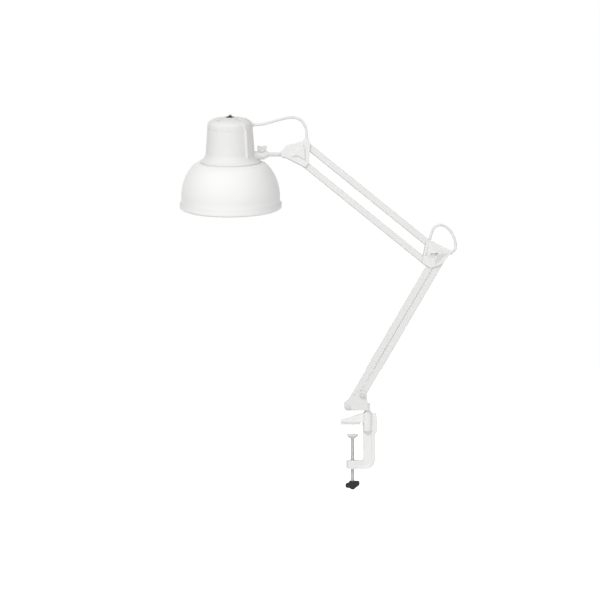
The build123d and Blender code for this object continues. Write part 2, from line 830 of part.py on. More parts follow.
# Bell shade with a flat crown, a round shoulder and a stepped rim
with BuildPart() as shade:
    with BuildSketch(head_side):
        with BuildLine():
            outer_start, outer_end = shade_line(0)
            inner_start, inner_end = shade_line(shade_wall)
            Polyline(outer_start, (holder_radius + fit_gap, crown_s),
                     (holder_radius + fit_gap, crown_s - shade_wall), inner_start)
            Polyline(
                outer_end,
                (outer_end.X, side_bottom_s),
                (rim_radius, rim_top_s),
                (rim_radius, rim_bottom_s),
                (rim_radius - rim_curl, rim_bottom_s - rim_curl),
                (rim_radius - rim_curl - shade_wall, rim_bottom_s - rim_curl + rim_fold),
                (rim_radius - shade_wall, rim_bottom_s - rim_fold),
                (rim_radius - shade_wall, rim_top_s - rim_step),
                (inner_end.X, side_bottom_s - rim_step),
                inner_end,
            )
        make_face()
    revolve(axis=head_axis)

# Direction of the cap's taper, shared by its wall and its ribs
taper_way = Vector(cap_top_radius - cap_low_radius, 0, cap_top_s - cap_low_s).normalized()
rib_taper = degrees(atan2(rib_radius - rib_end_radius, cap_top_s - rib_bottom_s))


# Half-round ribs that stand on the wall of the cap between two heights, one on each side of the rod
def make_ribs(low_s, high_s):
    share = (low_s - cap_low_s) / (cap_top_s - cap_low_s)
    reach = cap_low_radius + share * (cap_top_radius - cap_low_radius)
    grown = rib_end_radius + (low_s - rib_bottom_s) * tan(radians(rib_taper))
    with BuildPart() as ribs:
        for azimuth in (-rib_azimuth, rib_azimuth):
            turn = radians(azimuth)
            foot = head_plane.from_local_coords(Vector(reach * cos(turn), reach * sin(turn), low_s))
            lean = Vector(taper_way.X * cos(turn), taper_way.X * sin(turn), taper_way.Z)
            way = head_plane.from_local_coords(lean) - head_plane.origin
            with BuildSketch(Plane(origin=foot, z_dir=way)):
                Circle(grown)
            extrude(amount=(high_s - low_s) / taper_way.Z, taper=-rib_taper)
    return ribs


cap_ribs = make_ribs(rib_bottom_s, cap_top_s)
lid_ribs = make_ribs(cap_top_s, rib_top_s)
lid_shoulder_radius = cap_top_radius - lid_draft

# Cap body: tapered wall, flare on to the shade, two ribs and the knuckle lug
with BuildPart() as cap_body:
    with BuildSketch(head_side):
        with BuildLine():
            wall = Polyline((0, cap_top_s), (cap_top_radius, cap_top_s), (cap_low_radius, cap_low_s))
            flare = TangentArc(wall @ 1, (flare_radius, crown_s + flare_lip), tangent=wall % 1)
            Polyline(flare @ 1, (flare_radius, crown_s), (0, crown_s), (0, cap_top_s))
        make_face()
    revolve(axis=head_axis)
    add(cap_ribs.part)
    with BuildSketch(head_plane.offset(cap_top_s)):
        Circle(flare_radius)
    extrude(amount=lid_spigot, mode=Mode.SUBTRACT)
    with BuildSketch(rod_plane.offset(cap_low_radius - cap_wall)):
        with Locations((lug_drop * lean_sin, -lug_drop * lean_cos)):
            Circle(lug_radius)
    extrude(amount=lug_end_x - cap_low_radius + cap_wall)
    with BuildSketch(rod_plane.offset(lug_end_x)):
        Circle(collar_radius)
    with BuildSketch(rod_plane.offset(collar_end_x)):
        Circle(collar_tip_radius)
    loft()
    with BuildSketch(head_side):
        with BuildLine():
            inner = Polyline((0, web_s), (cap_top_radius - cap_wall + inner_draft_top, web_s),
                             (cap_low_radius - cap_wall, cap_low_s))
            bell = TangentArc(inner @ 1, (flare_radius - cap_wall, crown_s + flare_lip), tangent=wall % 1)
            Polyline(bell @ 1, (flare_radius - cap_wall, crown_s), (0, crown_s), (0, web_s))
        make_face()
        with BuildLine():
            Polyline((0, cap_top_s), (cap_top_radius - cap_wall, cap_top_s),
                     (cap_top_radius - cap_wall, web_s + web_height), (0, web_s + web_height), close=True)
        make_face()
    revolve(axis=head_axis, mode=Mode.SUBTRACT)
    with BuildSketch(head_plane.offset(wing_seat_s)):
        with Locations((wing_x, 0)):
            Circle(wing_hub_radius + wing_seat_room)
    extrude(amount=lug_radius, mode=Mode.SUBTRACT)
    with BuildSketch(head_plane):
        with Locations((wing_x, 0)):
            Circle(wing_shank_diameter / 2 + pin_clearance)
    extrude(amount=lug_radius, mode=Mode.SUBTRACT)
    with BuildSketch(rod_plane.offset(rod_reach - fit_gap)):
        Circle(rod_diameter / 2 + rod_clearance)
    extrude(amount=collar_end_x, mode=Mode.SUBTRACT)
    with BuildSketch(head_plane.offset(web_s)):
        with Locations((tab_offset, 0), (-tab_offset, 0)):
            Circle(lead_radius + fit_gap)
        with Locations((0, holder_screw_offset), (0, -holder_screw_offset)):
            Circle(rivet_diameter / 2 + fit_gap)
    extrude(amount=web_height, mode=Mode.SUBTRACT)


# The lid's outline, from its edge over the domed brow to the axis, moved outwards by a distance
def lid_line(outwards):
    edge = Polyline((0, cap_top_s), (cap_top_radius + outwards, cap_top_s),
                    (lid_shoulder_radius + outwards, lid_shoulder_s))
    brow = EllipticalCenterArc(
        (lid_flat_radius, lid_shoulder_s), lid_shoulder_radius - lid_flat_radius + outwards,
        lid_top_s - lid_shoulder_s + outwards, start_angle=0, arc_size=90)
    Polyline(brow @ 1, (0, lid_top_s + outwards), edge @ 0)


# Tops of the ribs, trimmed to stand evenly on the brow
with BuildPart() as rib_tops:
    add(lid_ribs.part)
    with BuildSketch(head_side):
        with BuildLine():
            lid_line(rib_stand)
        make_face()
    revolve(axis=head_axis, mode=Mode.INTERSECT)

# Domed lid with sunken vents and a spigot that drops into the cap
spigot_radius = cap_top_radius - cap_wall - fit_gap
brow_share = (vent_radius - lid_flat_radius) / (lid_shoulder_radius - lid_flat_radius)
vent_s = lid_shoulder_s + (lid_top_s - lid_shoulder_s) * sqrt(1 - brow_share ** 2)
with BuildPart() as cap_lid:
    with BuildSketch(head_side):
        with BuildLine():
            lid_line(0)
        make_face()
    revolve(axis=head_axis)
    add(rib_tops.part)
    with BuildSketch(head_plane.offset(cap_top_s)):
        Circle(flare_radius)
    extrude(amount=-lid_spigot, mode=Mode.SUBTRACT)
    with BuildSketch(head_side):
        with BuildLine():
            lid_line(-cap_wall)
        make_face()
    revolve(axis=head_axis, mode=Mode.SUBTRACT)
    with BuildSketch(head_plane.offset(cap_top_s - lid_spigot)):
        Circle(spigot_radius)
        Circle(spigot_radius - lid_spigot_wall, mode=Mode.SUBTRACT)
    extrude(amount=2 * lid_spigot)
    for vent in range(vent_count):
        turn = radians(vent_azimuth + vent * 360 / vent_count)
        outwards = Vector(cos(turn), sin(turn), 0)
        tilt = Vector(0, 0, cos(radians(vent_tilt))) + outwards * sin(radians(vent_tilt))
        slope = Vector(0, 0, -sin(radians(vent_tilt))) + outwards * cos(radians(vent_tilt))
        middle = head_plane.from_local_coords(outwards * vent_radius + Vector(0, 0, vent_s))
        vent_plane = Plane(origin=middle, x_dir=head_plane.from_local_coords(slope) - head_plane.origin,
                           z_dir=head_plane.from_local_coords(tilt) - head_plane.origin)
        with BuildSketch(vent_plane.offset(-vent_recess)):
            RectangleRounded(vent_length, vent_width, vent_corner)
        extrude(amount=2 * vent_recess, mode=Mode.SUBTRACT)
        with BuildSketch(vent_plane):
            SlotOverall(vent_slit_length, vent_slit_width)
        extrude(amount=-2 * cap_wall, mode=Mode.SUBTRACT)
    with BuildSketch(head_plane.offset(lid_shoulder_s)):
        Circle(switch_radius + fit_gap)
    extrude(amount=lid_top_s, mode=Mode.SUBTRACT)
    gland_plane = Plane(origin=head_plane.from_local_coords(Vector(0, 0, gland_s)),
                        x_dir=(0, 1, 0), z_dir=(1, 0, 0))
    with BuildSketch(gland_plane.offset(lid_shoulder_radius - gland_neck)):
        Circle(cable_diameter / 2)
    extrude(amount=cap_top_radius, mode=Mode.SUBTRACT)
    with BuildSketch(gland_plane.offset(cap_top_radius - gland_seat)):
        Circle(gland_radius)
    extrude(amount=cap_top_radius, mode=Mode.SUBTRACT)

# Cable gland: a flat flange on the lid with a neck through its wall
gland_outer = cap_top_radius + gland_face
with BuildPart() as cable_gland:
    with BuildSketch(gland_plane.offset(cap_top_radius - gland_seat)):
        Circle(gland_radius)
    extrude(amount=gland_seat + gland_face)
    with BuildSketch(gland_plane.offset(cap_top_radius - gland_neck)):
        Circle(cable_diameter / 2)
    extrude(amount=gland_neck - gland_seat)

# Wing screw that locks the head on its rod
wing_low_s = wing_seat_s + wing_lift
with BuildPart() as wing_screw:
    with BuildSketch(head_plane.offset(wing_seat_s)):
        with Locations((wing_x, 0)):
            Circle(wing_hub_radius)
    extrude(amount=wing_hub_top_s - wing_seat_s)
    with BuildSketch(head_plane.offset(rod_diameter / 2 + wing_tip_gap)):
        with Locations((wing_x, 0)):
            Circle(wing_shank_diameter / 2)
    extrude(amount=wing_seat_s - rod_diameter / 2)
    with BuildSketch(head_side):
        with Locations((wing_x, (wing_low_s + wing_top_s) / 2)):
            RectangleRounded(wing_span, wing_top_s - wing_low_s, wing_corner)
        with Locations((wing_x, wing_top_s)):
            Circle(wing_notch_radius, mode=Mode.SUBTRACT)
    extrude(amount=wing_thickness / 2, both=True)

# Round rocker switch: bezel, body and the rocker in its pocket
bezel_top_s = lid_top_s + bezel_height
tilt_cos = cos(radians(rocker_tilt))
tilt_sin = sin(radians(rocker_tilt))
rocker_way = (tilt_cos, lean_sin * tilt_sin, -lean_cos * tilt_sin)
rocker_point = head_plane.from_local_coords(Vector(0, 0, rocker_pivot_s))
rocker_plane = Plane(origin=rocker_point, x_dir=rocker_way, z_dir=head_side.z_dir)
rocker_pin_end = rocker_width / 2 + rocker_pin_reach
with BuildPart() as switch_housing:
    with BuildSketch(head_plane.offset(lid_top_s)):
        Circle(bezel_radius)
    extrude(amount=bezel_height)
    fillet(switch_housing.edges().filter_by(GeomType.CIRCLE).sort_by(head_axis)[-1], bezel_edge)
    with BuildSketch(head_plane.offset(switch_bottom_s)):
        Circle(switch_radius)
    extrude(amount=lid_top_s - switch_bottom_s)
    with BuildSketch(head_plane.offset(bezel_top_s)):
        Rectangle(rocker_length + 2 * rocker_gap, rocker_width + 2 * fit_gap)
    extrude(amount=-rocker_pocket, mode=Mode.SUBTRACT)
    with BuildSketch(rocker_plane):
        Circle(rocker_pin_radius + pin_clearance)
    extrude(amount=rocker_pin_end + fit_gap, both=True, mode=Mode.SUBTRACT)
rocker_edge = bezel_top_s - rocker_pivot_s - rocker_sink
with BuildPart() as switch_rocker:
    with BuildSketch(rocker_plane):
        with BuildLine():
            roof = Polyline((-rocker_length / 2, 0), (-rocker_length / 2, rocker_edge),
                            (0, rocker_edge + rocker_peak), (rocker_length / 2, rocker_edge),
                            (rocker_length / 2, 0))
            ThreePointArc(roof @ 1, (0, -rocker_belly), roof @ 0)
        make_face()
    extrude(amount=rocker_width / 2, both=True)
    with BuildSketch(rocker_plane):
        Circle(rocker_pin_radius)
    extrude(amount=rocker_pin_end, both=True)

# Brass tabs under the switch and the two leads down to the holder
with BuildPart() as switch_tabs:
    with BuildSketch(head_plane.offset(switch_bottom_s)):
        with Locations((tab_offset, 0), (-tab_offset, 0)):
            Rectangle(tab_thickness, tab_width)
    extrude(amount=-tab_length)
with BuildPart() as lead_wires:
    with BuildSketch(head_plane.offset(web_s)):
        with Locations((tab_offset, 0), (-tab_offset, 0)):
            Circle(lead_radius)
    extrude(amount=switch_bottom_s - tab_length - web_s)

# Lamp holder, its screw shell and centre contact, and the ring that holds the shade
with BuildPart() as lampholder:
    with BuildSketch(head_side):
        with BuildLine():
            Polyline(
                (0, web_s),
                (holder_radius, web_s),
                (holder_radius, crown_s + holder_flange),
                (holder_flange_radius, crown_s + holder_flange),
                (holder_flange_radius, crown_s),
                (holder_radius, crown_s),
                (holder_radius, holder_bottom_s),
                (holder_bore_radius, holder_bottom_s),
                (holder_bore_radius, holder_floor_s),
                (0, holder_floor_s),
                close=True,
            )
        make_face()
    revolve(axis=head_axis)
    with BuildSketch(head_plane.offset(web_s)):
        with Locations((0, holder_screw_offset), (0, -holder_screw_offset)):
            Circle(rivet_diameter / 2)
    extrude(amount=-holder_hole_depth, mode=Mode.SUBTRACT)
with BuildPart() as screw_shell:
    with BuildSketch(head_plane.offset(shell_bottom_s)):
        Circle(holder_bore_radius)
        Circle(holder_bore_radius - shell_wall, mode=Mode.SUBTRACT)
    extrude(amount=shell_top_s - shell_bottom_s)
with BuildPart() as centre_contact:
    with BuildSketch(head_plane.offset(holder_floor_s)):
        Circle(contact_radius)
    extrude(amount=-contact_height)
with BuildPart() as shade_ring:
    with BuildSketch(head_plane.offset(crown_s - shade_wall)):
        Circle(ring_radius)
        Circle(holder_radius, mode=Mode.SUBTRACT)
    extrude(amount=-ring_height)
    fillet(shade_ring.edges().filter_by(GeomType.CIRCLE).group_by(SortBy.RADIUS)[-1], ring_edge)
with BuildPart() as holder_screws:
    with BuildSketch(head_plane.offset(web_s - holder_screw_depth)):
        with Locations((0, holder_screw_offset), (0, -holder_screw_offset)):
            Circle(rivet_diameter / 2)
    extrude(amount=holder_screw_depth + web_height)
    with BuildSketch(head_plane.offset(web_s + web_height)):
        with Locations((0, holder_screw_offset), (0, -holder_screw_offset)):
            Circle(rivet_head_diameter / 2)
    extrude(amount=rivet_head_height)

# Bulb: metal screw base with its tip on the contact, and the glass below it
contact_face = holder_floor_s - contact_height
with BuildPart() as bulb_base:
    with BuildSketch(head_side):
        with BuildLine():
            Polyline(
                (0, contact_face),
                (bulb_tip_radius, contact_face),
                (bulb_base_radius, bulb_base_top_s),
                (bulb_base_radius, bulb_base_bottom_s),
                (0, bulb_base_bottom_s),
                close=True,
            )
        make_face()
    revolve(axis=head_axis)


# One face of the bulb's glass, from its lowest point to the neck
def glass_line(inset):
    globe = CenterArc((0, bulb_centre_s), bulb_radius - inset, -90, 90 + bulb_neck_angle)
    neck = Spline(globe @ 1, (bulb_base_radius - inset, bulb_base_bottom_s), tangents=(globe % 1, (0, 1)))
    return globe @ 0, neck @ 1


with BuildPart() as bulb_glass:
    with BuildSketch(head_side):
        with BuildLine():
            outer_pole, outer_neck = glass_line(0)
            inner_pole, inner_neck = glass_line(glass_wall)
            Line(outer_pole, inner_pole)
            Line(outer_neck, inner_neck)
        make_face()
    revolve(axis=head_axis)

# Cables: the head loop from the gland to the yoke, and the loop over the elbow
gland_point = gland_plane.origin + Vector(gland_outer, 0, 0)
head_cable = make_cable(
    [
        (gland_point.X, gland_point.Y, gland_point.Z),
        (gland_point.X + 9.6, gland_point.Y, gland_point.Z),
        beside(yoke_high, -56.2, -9.6, 33.2),
        beside(yoke_high, -41.2, -7.4, 37.8),
        beside(yoke_high, -27.7, -5.0, 41.2),
        beside(yoke_high, -15.7, -2.8, 41.6),
        beside(yoke_high, -6.3, -1.0, 35.6),
        beside(yoke_high, -1.5, 0, 25.8),
        beside(yoke_high, outlet_block_shift, 0, 16.8),
        (outlet_block_x, 0, outlet_block_high),
    ],
    "head cable",
)
elbow_cable = make_cable(
    [
        (outlet_high[0], 0, outlet_high[1]),
        (outlet_high[0] - 1.3, 0, outlet_high[1] + 4.81),
        beside(elbow_high, 4.5, 0, 14.6),
        beside(elbow_high, 5.2, 0, 22.2),
        beside(elbow_high, 8.1, 0, 27.2),
        beside(elbow_high, 13.1, 0, 30.1),
        beside(elbow_high, 18.8, 0, 30.4),
        beside(elbow_high, 25.4, 0, 27.6),
        beside(elbow_high, 31.4, 0, 22.4),
        beside(elbow_high, 36.2, 0, 15.2),
        beside(elbow_high, 39.1, 0, 6.6),
        beside(elbow_high, 40.2, 0, -2.4),
        (outlet_tip[0] + 3.86, 0, outlet_tip[1] + 3.485),
        (outlet_tip[0], 0, outlet_tip[1]),
    ],
    "elbow cable",
)

# Every finished piece, under the name of its node
pieces = {
    "clamp_frame": clamp_frame,
    "jaw_pad": jaw_pad,
    "pressure_pad": pressure_pad,
    "clamp_screw": clamp_screw,
    "clamp_knob": clamp_knob,
    "swivel_post": swivel_post,
    "base_cheek_front": base_cheek_front,
    "base_cheek_rear": base_cheek_rear,
    "base_bolts": base_bolts,
    "base_nuts": base_nuts,
    "base_washers": base_washers,
    "lower_front_bar": lower_front_bar,
    "lower_front_bushes": lower_front_bushes,
    "lower_rear_bar": lower_rear_bar,
    "lower_rear_bushes": lower_rear_bushes,
    "elbow_cover_front": elbow_cover_front,
    "elbow_cover_rear": elbow_cover_rear,
    "elbow_spacer": elbow_spacer,
    "elbow_pins": elbow_pins,
    "elbow_washers": elbow_washers,
    "elbow_screw": elbow_screw,
    "elbow_cable": elbow_cable,
    "upper_top_bar": upper_top_bar,
    "upper_top_bushes": upper_top_bushes,
    "upper_bottom_bar": upper_bottom_bar,
    "upper_bottom_bushes": upper_bottom_bushes,
    "yoke_front": yoke_front,
    "yoke_rear": yoke_rear,
    "yoke_pins": yoke_pins,
    "yoke_washers": yoke_washers,
    "yoke_screw": yoke_screw,
    "yoke_outlet": yoke_outlet,
    "swivel_rod": swivel_rod,
    "head_cable": head_cable,
    "shade": shade,
    "cap_body": cap_body,
    "cap_lid": cap_lid,
    "cable_gland": cable_gland,
    "wing_screw": wing_screw,
    "switch_housing": switch_housing,
    "switch_rocker": switch_rocker,
    "switch_tabs": switch_tabs,
    "lead_wires": lead_wires,
    "lampholder": lampholder,
    "screw_shell": screw_shell,
    "centre_contact": centre_contact,
    "shade_ring": shade_ring,
    "holder_screws": holder_screws,
    "bulb_base": bulb_base,
    "bulb_glass": bulb_glass,
}
for name, piece in pieces.items():
    piece.part.label = name
    export_step(piece.part, f"parts/{name}.step")

# Joint places and directions for the record, in millimetres
print("base", base_front, base_rear)
print("elbow", elbow_front, elbow_rear, elbow_low, elbow_high)
print("yoke", yoke_low, yoke_high, "rod z", rod_z)
print("rocker", rocker_plane.origin, "axis", head_plane.y_dir)
print("wing", head_plane.from_local_coords(Vector(wing_x, 0, wing_seat_s)), "axis", head_plane.z_dir)
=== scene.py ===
# Clamp lamp: finishes, rounded edges, cables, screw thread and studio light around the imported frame
import json
import math

import bmesh
import bpy
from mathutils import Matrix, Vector

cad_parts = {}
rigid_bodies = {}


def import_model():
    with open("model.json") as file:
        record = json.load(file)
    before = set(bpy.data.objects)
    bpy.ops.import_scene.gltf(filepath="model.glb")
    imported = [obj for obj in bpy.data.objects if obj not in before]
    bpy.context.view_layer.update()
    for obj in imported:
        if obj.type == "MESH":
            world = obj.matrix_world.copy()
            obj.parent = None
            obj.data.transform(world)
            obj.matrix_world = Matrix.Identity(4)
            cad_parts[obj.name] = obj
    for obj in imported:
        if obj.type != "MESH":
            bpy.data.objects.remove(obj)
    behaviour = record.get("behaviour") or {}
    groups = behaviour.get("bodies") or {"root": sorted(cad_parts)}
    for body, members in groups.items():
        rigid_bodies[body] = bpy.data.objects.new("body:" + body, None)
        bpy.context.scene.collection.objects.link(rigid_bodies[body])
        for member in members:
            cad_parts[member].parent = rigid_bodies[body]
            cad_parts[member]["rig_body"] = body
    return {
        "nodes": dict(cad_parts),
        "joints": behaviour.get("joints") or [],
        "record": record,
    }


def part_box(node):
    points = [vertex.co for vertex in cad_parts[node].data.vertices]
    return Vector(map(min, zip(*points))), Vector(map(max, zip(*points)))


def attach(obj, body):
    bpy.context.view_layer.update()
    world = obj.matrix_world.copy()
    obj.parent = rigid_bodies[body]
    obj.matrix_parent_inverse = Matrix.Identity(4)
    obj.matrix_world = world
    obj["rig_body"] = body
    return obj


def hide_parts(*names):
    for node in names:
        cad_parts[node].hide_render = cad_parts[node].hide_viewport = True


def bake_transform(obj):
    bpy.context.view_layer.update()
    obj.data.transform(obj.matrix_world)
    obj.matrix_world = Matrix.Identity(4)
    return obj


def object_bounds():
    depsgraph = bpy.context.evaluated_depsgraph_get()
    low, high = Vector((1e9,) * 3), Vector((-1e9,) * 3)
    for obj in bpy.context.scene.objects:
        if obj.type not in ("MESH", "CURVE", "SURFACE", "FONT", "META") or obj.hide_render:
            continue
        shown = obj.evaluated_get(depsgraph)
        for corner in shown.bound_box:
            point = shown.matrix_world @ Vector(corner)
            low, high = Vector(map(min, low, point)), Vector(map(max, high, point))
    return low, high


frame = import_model()
cad_low, cad_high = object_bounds()
nodes = frame["nodes"]
joint_place = {joint["name"]: Vector(joint.get("pos_m", (0, 0, 0))) for joint in frame["joints"]}
slot_of = {row["node"]: row["material_slot"] for row in frame["record"]["subparts"]}
mm = 0.001

# Camera and stage, in metres
image_pixels = 600
metres_per_pixel = 0.0015
view_centre = Vector((-0.07875, 0.0, 0.18645))
camera_distance = 2.6
sensor_mm = 36.0
floor_drop = 0.30
floor_size = 24.0
floor_near = 0.35
floor_far = 1.6
floor_lift_near = 0.5
floor_lift_far = 1.0
floor_tone = 0.85
floor_roughness = 0.9

# Studio light: softboxes as place, size and power, and the light of the room
key_place = (-1.45, -2.2, 2.2)
key_size = (3.4, 1.8)
key_power = 61.0
fill_place = (1.1, -2.3, 0.6)
fill_size = (1.0, 1.6)
fill_power = 16.0
room_light = 0.36

# Rounded edges, in millimetres, of the pieces whose solids have sharp ones; 0 only smooths the surface
edge_radius = {
    "jaw_pad": 0.5,
    "pressure_pad": 0.35,
    "swivel_post": 0.5,
    "base_cheek_front": 0.75,
    "base_cheek_rear": 0.75,
    "base_nuts": 0.4,
    "base_bolts": 0.35,
    "lower_front_bar": 0.0,
    "lower_rear_bar": 0.0,
    "upper_top_bar": 0.0,
    "upper_bottom_bar": 0.0,
    "elbow_spacer": 0.4,
    "elbow_screw": 0.3,
    "yoke_screw": 0.3,
    "yoke_outlet": 0.3,
    "swivel_rod": 0.3,
    "shade": 0.0,
    "cap_body": 0.2,
    "cap_lid": 0.2,
    "cable_gland": 0.4,
    "switch_housing": 0.2,
    "switch_rocker": 0.5,
    "wing_screw": 0.35,
    "lampholder": 0.4,
    "shade_ring": 0.0,
    "bulb_glass": 0.0,
}
edge_segments = 3
edge_angle = math.radians(40)
smooth_angle = math.radians(35)
flat_angle = math.radians(0.2)
merge_gap = 0.002 * mm

# Cast and moulded pieces, whose edges and hollows are all soft: voxel in millimetres and steps of smoothing
soft_cast = {
    "clamp_frame": (0.6, 6),
    "clamp_knob": (0.4, 10),
    "elbow_cover_front": (0.28, 6),
    "elbow_cover_rear": (0.28, 6),
    "yoke_front": (0.36, 8),
    "yoke_rear": (0.36, 8),
}
smooth_share = 0.5

# Three-cornered pocket of the elbow covers, in millimetres: offsets of its corners from the upper pivot, foot
# last, height of its brow, depth of its floor and reach of the swell round the brow; then the outer face of
# the covers, and how far out a point must lie to belong to it
pocket_corners = [(1.6, -14.6), (12.6, -14.6), (6.4, -21.8)]
pocket_brow = 3.2
pocket_depth = 1.4
pocket_swell = 7.0
cover_face = 7.0
cover_skin = 6.2

# Open seams of the cap: distance up the leaning axis of the head, radius and width of each, in millimetres
head_lean = math.radians(14)
seams = {"cap_body": [(40.0, 34.0, 0.4), (-11.5, 45.4, 0.7)], "cap_lid": [(40.0, 34.0, 0.25)]}
seam_slack = 0.05
seam_steps = 2

# Clamp screw thread
thread_pitch = 1.0 * mm
thread_depth = 0.35 * mm
thread_turn_steps = 20
thread_core_sides = 32
thread_ridge_sides = 4

# Cables: diameter, and each route as offsets in millimetres from a pivot of the arm
cable_diameter = 3.8 * mm
cable_sides = 6
spline_order = 3
spline_steps = 12
head_route = [
    (-79.7, -10.81, 29.72),
    (-70.1, -10.81, 29.72),
    (-56.2, -9.6, 33.2),
    (-41.2, -7.4, 37.8),
    (-27.7, -5.0, 41.2),
    (-15.7, -2.8, 41.6),
    (-6.3, -1.0, 35.6),
    (-1.5, 0.0, 25.8),
    (-0.6, 0.0, 16.8),
    (-0.6, 0.0, 10.4),
]
elbow_route = [
    (0.4, 0.0, 4.2),
    (1.4, 0.0, 9.0),
    (3.6, 0.0, 15.4),
    (6.0, 0.0, 22.2),
    (9.4, 0.0, 26.4),
    (16.0, 0.0, 29.2),
    (23.6, 0.0, 27.4),
    (30.6, 0.0, 21.8),
    (35.9, 0.0, 13.8),
    (39.2, 0.0, 4.6),
    (40.2, 0.0, -4.2),
    (38.4, 0.0, -10.0),
    (32.4, 0.0, -13.2),
]

# Skins: detail of patches and peel, the span of the patches over which the gloss varies, the roughness of a
# clear coat, and the share of a warm tint that green loses
patch_detail = 3.0
peel_detail = 2.0
patch_low = 0.3
patch_high = 0.7
coat_roughness = 0.08
green_share = 0.4


def link(made):
    bpy.context.scene.collection.objects.link(made)
    return made


# The mesh that an object has once its modifiers or its curve are worked out
def bake_mesh(made, name):
    graph = bpy.context.evaluated_depsgraph_get()
    mesh = bpy.data.meshes.new_from_object(
        made.evaluated_get(graph), preserve_all_data_layers=True, depsgraph=graph)
    mesh.name = name
    return mesh


# Shader node groups

def new_group(name, inputs, outputs):
    group = bpy.data.node_groups.new(name, "ShaderNodeTree")
    for label, kind, default in inputs:
        socket = group.interface.new_socket(label, in_out="INPUT", socket_type=kind)
        socket.default_value = default
    for label, kind in outputs:
        group.interface.new_socket(label, in_out="OUTPUT", socket_type=kind)
    return group, group.nodes.new("NodeGroupInput"), group.nodes.new("NodeGroupOutput")


# Painted or moulded skin: slow patches of tone, a fine peel and a gloss that varies
def make_skin_group():
    group, inlet, outlet = new_group(
        "skin",
        [
            ("Colour", "NodeSocketColor", (0.8, 0.8, 0.8, 1)),
            ("Shade", "NodeSocketColor", (0.7, 0.7, 0.7, 1)),
            ("Patch Scale", "NodeSocketFloat", 20.0),
            ("Peel Scale", "NodeSocketFloat", 900.0),
            ("Gloss Low", "NodeSocketFloat", 0.3),
            ("Gloss High", "NodeSocketFloat", 0.4),
        ],
        [("Colour", "NodeSocketColor"), ("Roughness", "NodeSocketFloat"), ("Height", "NodeSocketFloat")],
    )
    tree = group.nodes
    wire = group.links.new
    place = tree.new("ShaderNodeTexCoord")
    patch = tree.new("ShaderNodeTexNoise")
    patch.inputs["Detail"].default_value = patch_detail
    peel = tree.new("ShaderNodeTexNoise")
    peel.inputs["Detail"].default_value = peel_detail
    tone = tree.new("ShaderNodeMix")
    tone.data_type = "RGBA"
    gloss = tree.new("ShaderNodeMapRange")
    gloss.inputs["From Min"].default_value = patch_low
    gloss.inputs["From Max"].default_value = patch_high
    wire(place.outputs["Object"], patch.inputs["Vector"])
    wire(place.outputs["Object"], peel.inputs["Vector"])
    wire(inlet.outputs["Patch Scale"], patch.inputs["Scale"])
    wire(inlet.outputs["Peel Scale"], peel.inputs["Scale"])
    wire(patch.outputs["Fac"], tone.inputs["Factor"])
    wire(inlet.outputs["Colour"], tone.inputs["A"])
    wire(inlet.outputs["Shade"], tone.inputs["B"])
    wire(patch.outputs["Fac"], gloss.inputs["Value"])
    wire(inlet.outputs["Gloss Low"], gloss.inputs["To Min"])
    wire(inlet.outputs["Gloss High"], gloss.inputs["To Max"])
    wire(tone.outputs["Result"], outlet.inputs["Colour"])
    wire(gloss.outputs["Result"], outlet.inputs["Roughness"])
    wire(peel.outputs["Fac"], outlet.inputs["Height"])
    return group


skin_group = make_skin_group()


def place_group(material, group, values):
    node = material.node_tree.nodes.new("ShaderNodeGroup")
    node.node_tree = group
    for label, value in values.items():
        node.inputs[label].default_value = value
    return node


def grey(level, warmth=0.0):
    return (level, level * (1 - warmth * green_share), level * (1 - warmth), 1)


# A material whose skin comes from the group and whose shader values are plain: patch and grain scale its tone
# and its peel, peel is a height in millimetres and gloss a range of roughness
def make_skin(name, colour, shade, patch, grain, peel, gloss, coat=0.0, metallic=0.0, specular=0.5):
    material = bpy.data.materials.new(name)
    material.use_nodes = True
    shader = material.node_tree.nodes["Principled BSDF"]
    wire = material.node_tree.links.new
    skin = place_group(material, skin_group, {
        "Colour": colour, "Shade": shade, "Patch Scale": patch, "Peel Scale": grain,
        "Gloss Low": gloss[0], "Gloss High": gloss[1]})
    relief = material.node_tree.nodes.new("ShaderNodeBump")
    relief.inputs["Strength"].default_value = 1.0
    relief.inputs["Distance"].default_value = peel * mm
    wire(skin.outputs["Colour"], shader.inputs["Base Color"])
    wire(skin.outputs["Roughness"], shader.inputs["Roughness"])
    wire(skin.outputs["Height"], relief.inputs["Height"])
    wire(relief.outputs["Normal"], shader.inputs["Normal"])
    shader.inputs["Metallic"].default_value = metallic
    shader.inputs["Specular IOR Level"].default_value = specular
    shader.inputs["Coat Weight"].default_value = coat
    shader.inputs["Coat Roughness"].default_value = coat_roughness
    return material


